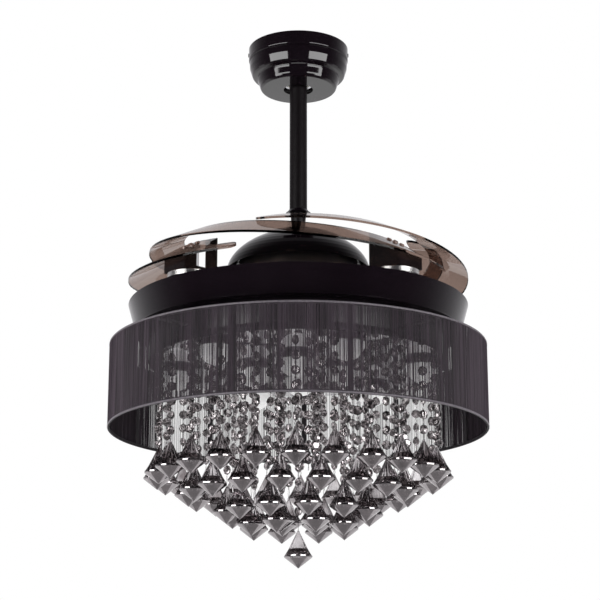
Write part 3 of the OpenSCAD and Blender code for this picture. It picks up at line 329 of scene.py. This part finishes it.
# ---------------------------------------------------------------- shade threads and rims
random.seed(11)
strand_bm = bmesh.new()
bmesh.ops.create_cone(strand_bm, cap_ends=False, segments=4, radius1=THREAD_R, radius2=THREAD_R,
                      depth=SHADE_TOP - SHADE_FOOT - 0.0016)
STRAND = template(strand_bm)
thread_bm = bmesh.new()
angle = 0.0
while angle < TAU:
    lean = Matrix.Rotation(random.gauss(0, 0.0014), 4, "X")
    thick = random.uniform(0.8, 1.15)
    place = (Matrix.Rotation(angle, 4, "Z") @ Matrix.Translation((SHADE_R - 0.0006, 0, (SHADE_TOP + SHADE_FOOT) / 2))
             @ lean @ Matrix.Diagonal((thick, thick, 1, 1)))
    set_down(thread_bm, STRAND, place)
    spacing = THIN_SPACING if abs(angle - TAU / 4) < THIN_HALF else 1.0
    angle += TAU / THREADS * spacing * max(0.35, random.gauss(1.0, 0.28))
threads = add_piece("shade_thread_curtain", thread_bm, THREAD, "hanging", smooth=True)
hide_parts("shade_threads")

rim_bm = bmesh.new()
for low, high in ((SHADE_FOOT, SHADE_FOOT + RIM_H), (SHADE_TOP - RIM_H, SHADE_TOP)):
    turned(rim_bm, ((SHADE_R - RIM_T, low), (SHADE_R - RIM_EDGE, low), (SHADE_R, low + RIM_EDGE),
                    (SHADE_R, high - RIM_EDGE), (SHADE_R - RIM_EDGE, high), (SHADE_R - RIM_T, high),
                    (SHADE_R - RIM_T, low)), 192)
rims = add_piece("shade_rims", rim_bm, RIM, "hanging", smooth=True)

# ---------------------------------------------------------------- camera
scene = bpy.context.scene
camera_data = bpy.data.cameras.new("camera")
camera_data.lens = CAMERA_LENS
camera_data.sensor_width = CAMERA_SENSOR
camera = bpy.data.objects.new("camera", camera_data)
scene.collection.objects.link(camera)
camera.location = CAMERA_AT
camera.rotation_euler = (math.radians(90 + CAMERA_PITCH), 0, 0)
scene.camera = camera

# ---------------------------------------------------------------- studio
FLOOR_Z = -1.5
FRONT_DARK = (0.022, 0.021, 0.024, 1)
BACK_LIGHT = (0.80, 0.79, 0.81, 1)


def ramp(nodes, stops):
    """A colour ramp with the given stops."""
    node = nodes.new("ShaderNodeValToRGB")
    marks = node.color_ramp.elements
    for index, (position, color) in enumerate(stops):
        mark = marks[index] if index < 2 else marks.new(position)
        mark.position = position
        mark.color = color
    return node


def floor_material():
    """Pale, with its shadow kept. In reflections it runs from a dark front to a pale back."""
    mat, nodes, links, bsdf = new_material("floor")
    bsdf.inputs["Base Color"].default_value = (0.86, 0.86, 0.86, 1)
    bsdf.inputs["Roughness"].default_value = 0.9
    bsdf.inputs["Specular IOR Level"].default_value = 0.0
    bsdf.inputs["Emission Color"].default_value = (1, 1, 1, 1)
    seen = nodes.new("ShaderNodeMath")
    seen.operation = "MULTIPLY_ADD"
    seen.inputs[1].default_value = 0.45
    seen.inputs[2].default_value = 0.30
    where = nodes.new("ShaderNodeTexCoord")
    split = nodes.new("ShaderNodeSeparateXYZ")
    span = nodes.new("ShaderNodeMapRange")
    span.inputs["From Min"].default_value = -2.0
    span.inputs["From Max"].default_value = 3.0
    shade = ramp(nodes, ((0.0, (0.03, 0.03, 0.032, 1)), (1.0, (1.0, 1.0, 1.0, 1)), (0.34, (0.12, 0.118, 0.12, 1)),
                         (0.40, (0.34, 0.335, 0.34, 1)), (0.47, (0.36, 0.355, 0.36, 1)), (0.485, (0.95, 0.95, 0.96, 1))))
    glow = nodes.new("ShaderNodeEmission")
    path = nodes.new("ShaderNodeLightPath")
    pick = nodes.new("ShaderNodeMixShader")
    links.new(where.outputs["Object"], split.inputs["Vector"])
    links.new(split.outputs["Y"], span.inputs["Value"])
    links.new(span.outputs["Result"], shade.inputs["Fac"])
    links.new(shade.outputs["Color"], glow.inputs["Color"])
    links.new(path.outputs["Is Camera Ray"], seen.inputs[0])
    links.new(seen.outputs[0], bsdf.inputs["Emission Strength"])
    links.new(path.outputs["Is Glossy Ray"], pick.inputs["Fac"])
    links.new(bsdf.outputs[0], pick.inputs[1])
    links.new(glow.outputs[0], pick.inputs[2])
    links.new(pick.outputs[0], nodes["Material Output"].inputs["Surface"])
    return mat


def lay_floor():
    bm = bmesh.new()
    bmesh.ops.create_grid(bm, x_segments=1, y_segments=1, size=7)
    mesh = bpy.data.meshes.new("floor")
    bm.to_mesh(mesh)
    bm.free()
    mesh.materials.append(floor_material())
    obj = bpy.data.objects.new("floor", mesh)
    obj.location = (0, 0, FLOOR_Z)
    scene.collection.objects.link(obj)


lay_floor()

world = bpy.data.worlds.new("studio")
world.use_nodes = True
scene.world = world
wn, wl = world.node_tree.nodes, world.node_tree.links
wn.clear()
w_out = wn.new("ShaderNodeOutputWorld")
w_path = wn.new("ShaderNodeLightPath")
w_back = wn.new("ShaderNodeBackground")
w_back.inputs["Color"].default_value = (1, 1, 1, 1)
w_back.inputs["Strength"].default_value = 1.0
w_room = wn.new("ShaderNodeBackground")
w_coord = wn.new("ShaderNodeTexCoord")
w_split = wn.new("ShaderNodeSeparateXYZ")
w_half = wn.new("ShaderNodeMath")
w_half.operation = "MULTIPLY_ADD"
w_half.inputs[1].default_value = 0.5
w_half.inputs[2].default_value = 0.5
w_ramp = ramp(wn, ((0.0, FRONT_DARK), (1.0, BACK_LIGHT), (0.40, (0.04, 0.037, 0.040, 1)),
                   (0.56, (0.15, 0.145, 0.152, 1)), (0.74, (0.42, 0.415, 0.43, 1))))
w_mix = wn.new("ShaderNodeMixShader")
wl.new(w_coord.outputs["Generated"], w_split.inputs["Vector"])
wl.new(w_split.outputs["Y"], w_half.inputs[0])
wl.new(w_half.outputs[0], w_ramp.inputs["Fac"])
wl.new(w_ramp.outputs["Color"], w_room.inputs["Color"])
w_seen = wn.new("ShaderNodeMath")
w_seen.operation = "MAXIMUM"
wl.new(w_path.outputs["Is Camera Ray"], w_seen.inputs[0])
wl.new(w_path.outputs["Is Transmission Ray"], w_seen.inputs[1])
wl.new(w_seen.outputs[0], w_mix.inputs["Fac"])
wl.new(w_room.outputs[0], w_mix.inputs[1])
wl.new(w_back.outputs[0], w_mix.inputs[2])
wl.new(w_mix.outputs[0], w_out.inputs["Surface"])


def softbox(name, location, aim, size, power, mirrored=True):
    data = bpy.data.lights.new(name, "AREA")
    data.shape = "RECTANGLE"
    data.size, data.size_y = size
    data.energy = power
    obj = bpy.data.objects.new(name, data)
    obj.location = location
    obj.rotation_euler = (Vector(aim) - Vector(location)).to_track_quat("-Z", "Y").to_euler()
    obj.visible_glossy = mirrored
    scene.collection.objects.link(obj)
    return obj


softbox("key_left", (-1.78, -1.66, -0.27), (0, 0, -0.3), (2.0, 0.80), 38)
softbox("key_right", (1.78, -1.66, -0.27), (0, 0, -0.3), (2.0, 0.80), 38)
softbox("low_front", (0, -1.35, -1.32), (0, 0, -0.2), (1.1, 0.35), 4)
softbox("side_left", (-2.5, -0.1, -0.4), (0, 0, -0.5), (1.2, 1.2), 40, mirrored=False)
softbox("side_right", (2.5, -0.1, -0.4), (0, 0, -0.5), (1.2, 1.2), 38, mirrored=False)
softbox("top", (0, 0.3, 1.9), (0, 0, -0.3), (2.4, 2.0), 30, mirrored=False)

scene.view_settings.view_transform = "Standard"
